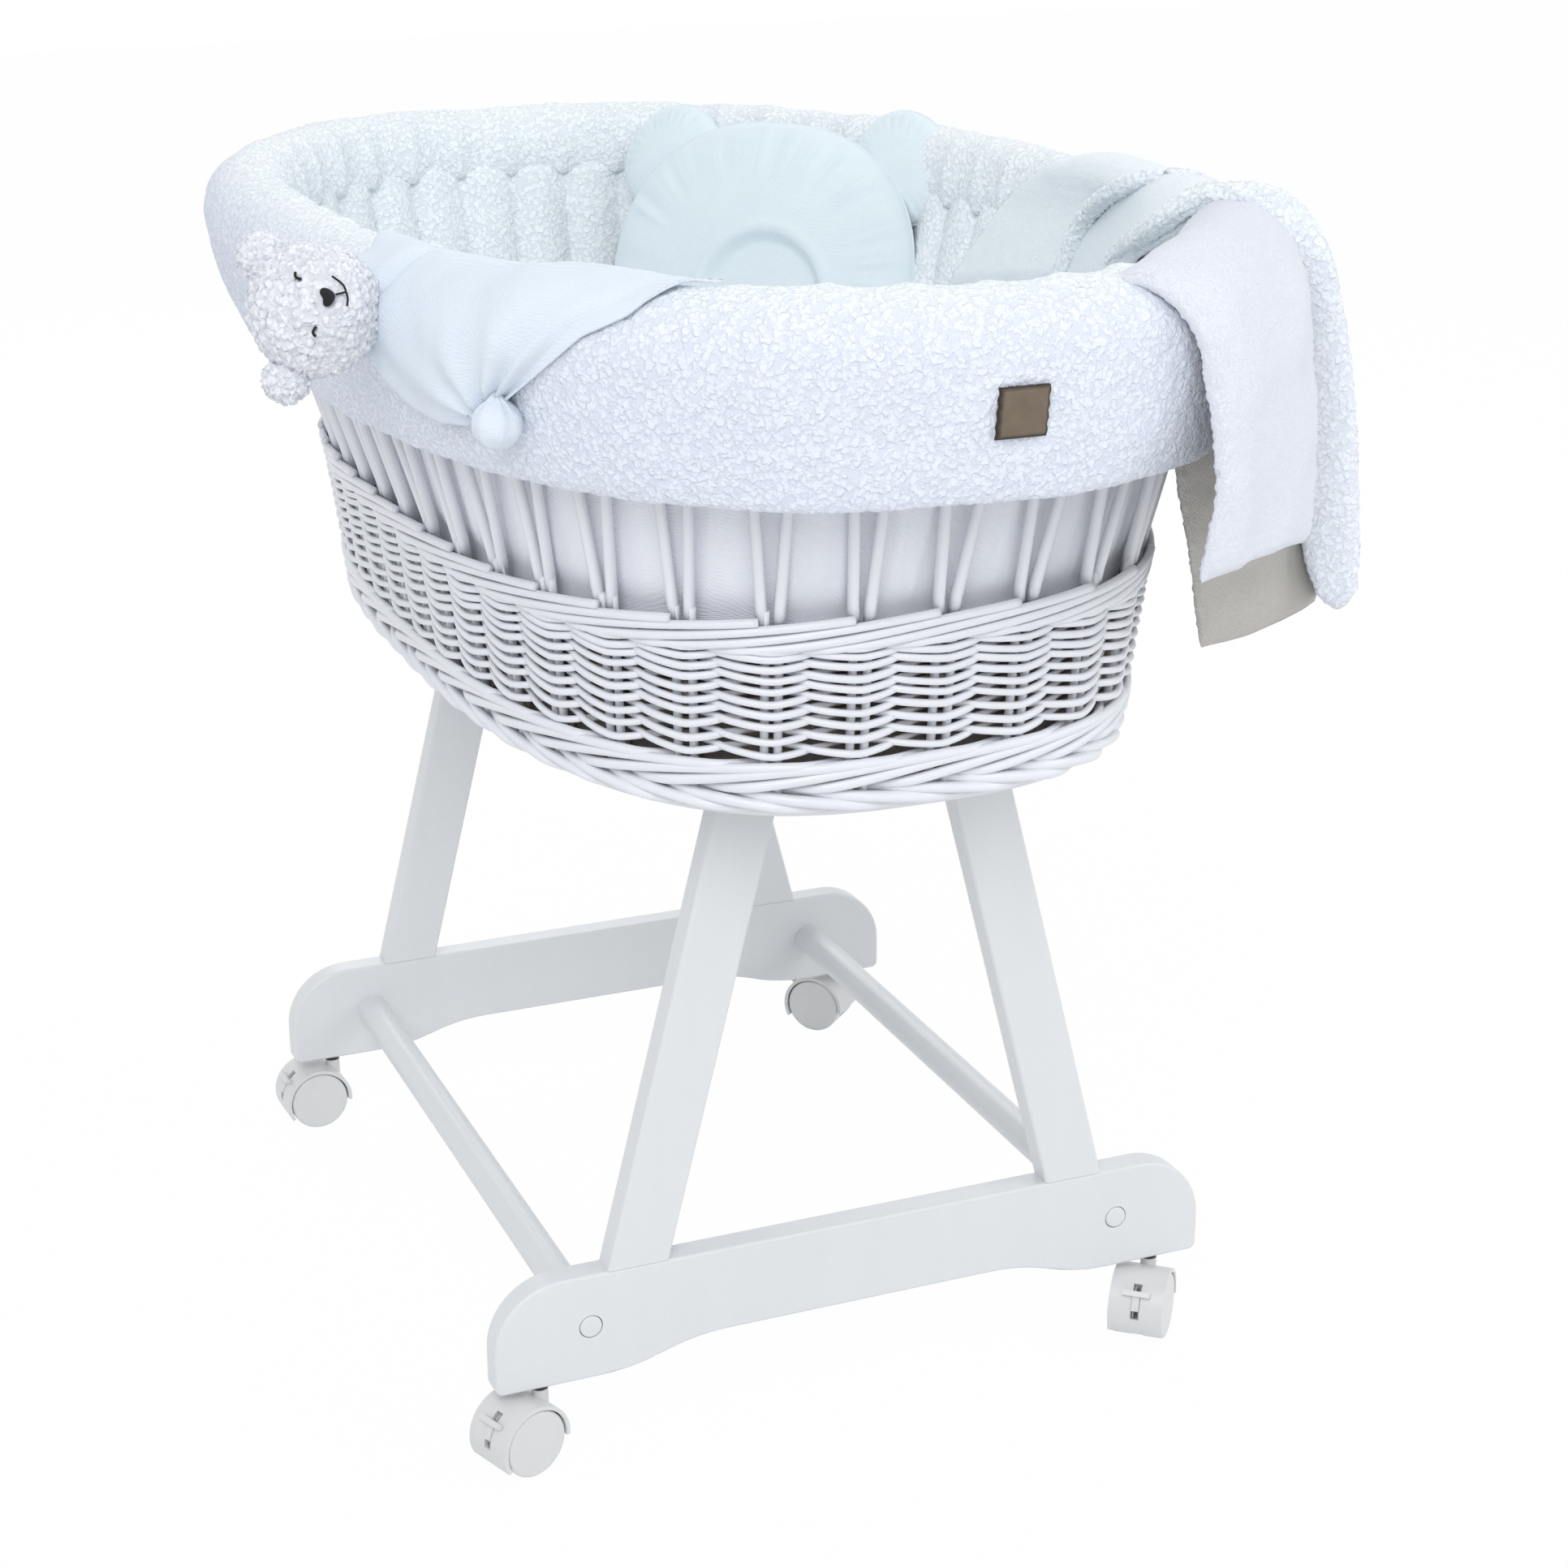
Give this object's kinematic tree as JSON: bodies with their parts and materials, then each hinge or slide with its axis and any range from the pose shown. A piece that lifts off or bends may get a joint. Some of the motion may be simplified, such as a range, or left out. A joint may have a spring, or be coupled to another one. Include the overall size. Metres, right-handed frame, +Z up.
{
  "type": "bassinet on a wheeled stand",
  "caption": "Oval white wicker bassinet with a padded curly-pile liner, on a painted wooden stand with leaning legs and braked twin-wheel casters.",
  "frame": {"origin": "on the floor under the middle of the stand", "axes": "+X along the foot rails, +Y towards the head end of the basket, +Z up"},
  "size_m": [0.6469, 0.909, 0.7605],
  "materials": {
    "painted_wood": "satin paint",
    "cap_plastic": "satin",
    "steel": "zinc plated",
    "plain_wood": "bare beech",
    "dark_plastic": "matte",
    "white_plastic": "satin",
    "white_wicker": "white lacquer on woven rods",
    "liner_cotton": "woven cotton",
    "sherpa": "curly pile",
    "mattress_cotton": "jersey sheet",
    "pillow_cotton": "smooth cotton",
    "blanket_plush": "plush with curly edge",
    "toy_plush": "curly pile",
    "toy_muslin": "muslin",
    "leather": "brown, dark cut edge"
  },
  "bodies": {
    "stand": {"foot_rail_front": "painted_wood", "foot_rail_rear": "painted_wood", "leg_front_left": "painted_wood", "leg_front_right": "painted_wood", "leg_rear_left": "painted_wood", "leg_rear_right": "painted_wood", "stretcher_left": "painted_wood", "stretcher_right": "painted_wood", "bearer_front": "painted_wood", "bearer_rear": "painted_wood", "slat_left": "painted_wood", "slat_right": "painted_wood", "stretcher_bolts": "steel", "cover_caps": "cap_plastic", "leg_dowels": "plain_wood", "bearer_screws": "steel", "slat_dowels": "plain_wood", "caster_sockets": "dark_plastic", "caster_stem_front_left": "steel", "caster_stem_front_right": "steel", "caster_stem_rear_left": "steel", "caster_stem_rear_right": "steel"},
    "caster_front_left": {"caster_hood_front_left": "white_plastic", "caster_axle_front_left": "steel"},
    "wheel_inner_front_left": {"caster_wheel_inner_front_left": "white_plastic"},
    "wheel_outer_front_left": {"caster_wheel_outer_front_left": "white_plastic"},
    "lever_front_left": {"brake_lever_front_left": "white_plastic"},
    "caster_front_right": {"caster_hood_front_right": "white_plastic", "caster_axle_front_right": "steel"},
    "wheel_inner_front_right": {"caster_wheel_inner_front_right": "white_plastic"},
    "wheel_outer_front_right": {"caster_wheel_outer_front_right": "white_plastic"},
    "lever_front_right": {"brake_lever_front_right": "white_plastic"},
    "caster_rear_left": {"caster_hood_rear_left": "white_plastic", "caster_axle_rear_left": "steel"},
    "wheel_inner_rear_left": {"caster_wheel_inner_rear_left": "white_plastic"},
    "wheel_outer_rear_left": {"caster_wheel_outer_rear_left": "white_plastic"},
    "lever_rear_left": {"brake_lever_rear_left": "white_plastic"},
    "caster_rear_right": {"caster_hood_rear_right": "white_plastic", "caster_axle_rear_right": "steel"},
    "wheel_inner_rear_right": {"caster_wheel_inner_rear_right": "white_plastic"},
    "wheel_outer_rear_right": {"caster_wheel_outer_rear_right": "white_plastic"},
    "lever_rear_right": {"brake_lever_rear_right": "white_plastic"},
    "basket": {"basket_base": "white_wicker", "foot_border": "white_wicker", "basket_wall": "white_wicker", "upper_wale": "white_wicker", "basket_stakes": "white_wicker", "basket_rim": "white_wicker", "liner_bag": "liner_cotton", "liner_bumper": "liner_cotton", "liner_cuff": "sherpa", "leather_patch": "leather", "mattress": "mattress_cotton"},
    "pillow": {"pillow": "pillow_cotton", "pillow_ears": "pillow_cotton"},
    "blanket": {"blanket": "blanket_plush"},
    "toy": {"toy_head": "toy_plush", "toy_ears": "toy_plush", "toy_cloth": "toy_muslin", "toy_knot": "toy_muslin"}
  },
  "joints": [
    {"name": "swivel_front_left", "type": "hinge", "parent": "stand", "child": "caster_front_left", "pos_m": [-0.21, -0.256, 0.0215], "axis": [0, 0, 1], "continuous": true},
    {"name": "spin_inner_front_left", "type": "hinge", "parent": "caster_front_left", "child": "wheel_inner_front_left", "pos_m": [-0.22504, -0.26147, 0.0215], "axis": [0.342, -0.9397, 0], "continuous": true},
    {"name": "spin_outer_front_left", "type": "hinge", "parent": "caster_front_left", "child": "wheel_outer_front_left", "pos_m": [-0.22504, -0.26147, 0.0215], "axis": [0.342, -0.9397, 0], "continuous": true},
    {"name": "brake_front_left", "type": "hinge", "parent": "caster_front_left", "child": "lever_front_left", "pos_m": [-0.24093, -0.26726, 0.02766], "axis": [0.342, -0.9397, 0], "range_deg": [0, 12]},
    {"name": "swivel_front_right", "type": "hinge", "parent": "stand", "child": "caster_front_right", "pos_m": [0.21, -0.256, 0.0215], "axis": [0, 0, 1], "continuous": true},
    {"name": "spin_inner_front_right", "type": "hinge", "parent": "caster_front_right", "child": "wheel_inner_front_right", "pos_m": [0.1995, -0.26808, 0.0215], "axis": [0.7547, -0.6561, 0], "continuous": true},
    {"name": "spin_outer_front_right", "type": "hinge", "parent": "caster_front_right", "child": "wheel_outer_front_right", "pos_m": [0.1995, -0.26808, 0.0215], "axis": [0.7547, -0.6561, 0], "continuous": true},
    {"name": "brake_front_right", "type": "hinge", "parent": "caster_front_right", "child": "lever_front_right", "pos_m": [0.18841, -0.28084, 0.02766], "axis": [0.7547, -0.6561, 0], "range_deg": [0, 12]},
    {"name": "swivel_rear_left", "type": "hinge", "parent": "stand", "child": "caster_rear_left", "pos_m": [-0.21, 0.256, 0.0215], "axis": [0, 0, 1], "continuous": true},
    {"name": "spin_inner_rear_left", "type": "hinge", "parent": "caster_rear_left", "child": "wheel_inner_rear_left", "pos_m": [-0.22598, 0.25516, 0.0215], "axis": [0.0523, -0.9986, 0], "continuous": true},
    {"name": "spin_outer_rear_left", "type": "hinge", "parent": "caster_rear_left", "child": "wheel_outer_rear_left", "pos_m": [-0.22598, 0.25516, 0.0215], "axis": [0.0523, -0.9986, 0], "continuous": true},
    {"name": "brake_rear_left", "type": "hinge", "parent": "caster_rear_left", "child": "lever_rear_left", "pos_m": [-0.24287, 0.25428, 0.02766], "axis": [0.0523, -0.9986, 0], "range_deg": [0, 12]},
    {"name": "swivel_rear_right", "type": "hinge", "parent": "stand", "child": "caster_rear_right", "pos_m": [0.21, 0.256, 0.0215], "axis": [0, 0, 1], "continuous": true},
    {"name": "spin_inner_rear_right", "type": "hinge", "parent": "caster_rear_right", "child": "wheel_inner_rear_right", "pos_m": [0.19909, 0.2677, 0.0215], "axis": [-0.7314, -0.682, 0], "continuous": true},
    {"name": "spin_outer_rear_right", "type": "hinge", "parent": "caster_rear_right", "child": "wheel_outer_rear_right", "pos_m": [0.19909, 0.2677, 0.0215], "axis": [-0.7314, -0.682, 0], "continuous": true},
    {"name": "brake_rear_right", "type": "hinge", "parent": "caster_rear_right", "child": "lever_rear_right", "pos_m": [0.18755, 0.28007, 0.02766], "axis": [-0.7314, -0.682, 0], "range_deg": [0, 12]},
    {"name": "basket_lift", "type": "slide", "parent": "stand", "child": "basket", "axis": [0, 0, 1], "range_m": [0, 0.3]},
    {"name": "pillow_lift", "type": "slide", "parent": "basket", "child": "pillow", "axis": [0, 0, 1], "range_m": [0, 0.25]},
    {"name": "blanket_lift", "type": "slide", "parent": "basket", "child": "blanket", "axis": [0, 0, 1], "range_m": [0, 0.3]},
    {"name": "toy_lift", "type": "slide", "parent": "basket", "child": "toy", "axis": [-0.531, -0.358, 0.768], "range_m": [0, 0.2]}
  ]
}
